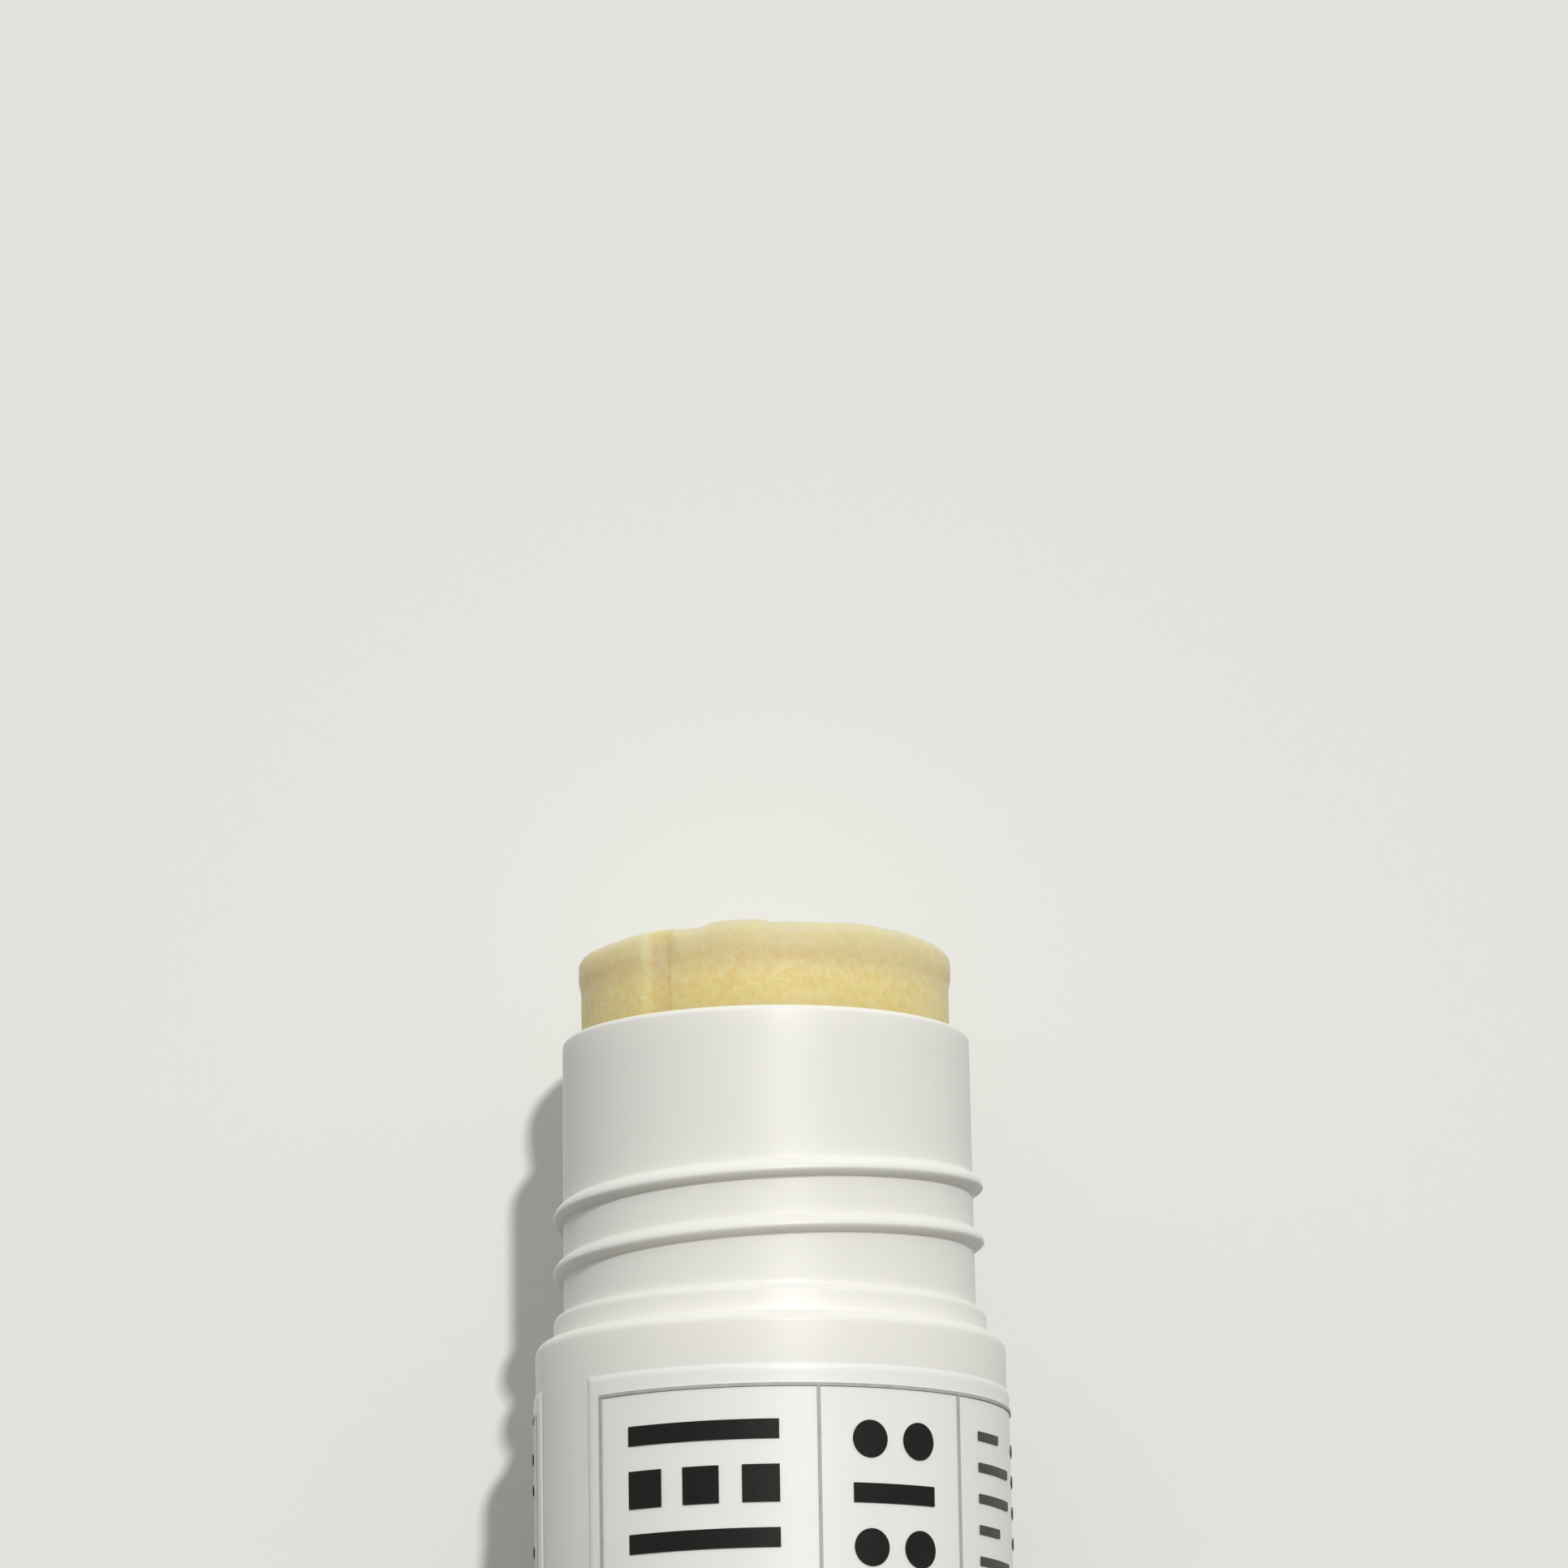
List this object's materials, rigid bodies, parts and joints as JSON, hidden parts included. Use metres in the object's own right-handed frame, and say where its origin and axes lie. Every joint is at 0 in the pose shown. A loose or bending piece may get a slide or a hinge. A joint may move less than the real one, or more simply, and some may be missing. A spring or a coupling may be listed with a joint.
{
  "type": "lip balm stick",
  "caption": "Twist-up lip balm stick, uncapped, with a threaded neck, a grip wheel on a screw, a wrapped label and a balm that has broken off short.",
  "frame": {"origin": "centre of the grip wheel's underside, which the stick stands on", "axes": "+Z along the tube towards the balm, -Y towards the front of the label"},
  "size_m": [0.0162, 0.0162, 0.0593],
  "materials": {
    "tube_plastic": "satin",
    "wheel_plastic": "satin",
    "cup_plastic": "matte",
    "balm_wax": "waxy",
    "label_film": "satin film",
    "grey_ink": "matte",
    "black_ink": "matte",
    "fine_ink": "matte"
  },
  "bodies": {
    "barrel": {"barrel": "tube_plastic", "label": "label_film", "label_rules": "grey_ink", "label_blocks": "black_ink", "label_notes": "fine_ink"},
    "dial": {"dial_screw": "wheel_plastic"},
    "elevator": {"elevator_cup": "cup_plastic", "balm": "balm_wax"}
  },
  "joints": [
    {"name": "dial_turn", "type": "hinge", "parent": "barrel", "child": "dial", "pos_m": [0, 0, 0], "axis": [0, 0, 1], "range_deg": [-1150, 2570]},
    {"name": "balm_rise", "type": "slide", "parent": "barrel", "child": "elevator", "axis": [0, 0, 1], "range_m": [-0.0115, 0.0257]}
  ],
  "couplings": [
    {"joint": "dial_turn", "follows": "balm_rise", "rad_per_m": 1745.3}
  ]
}
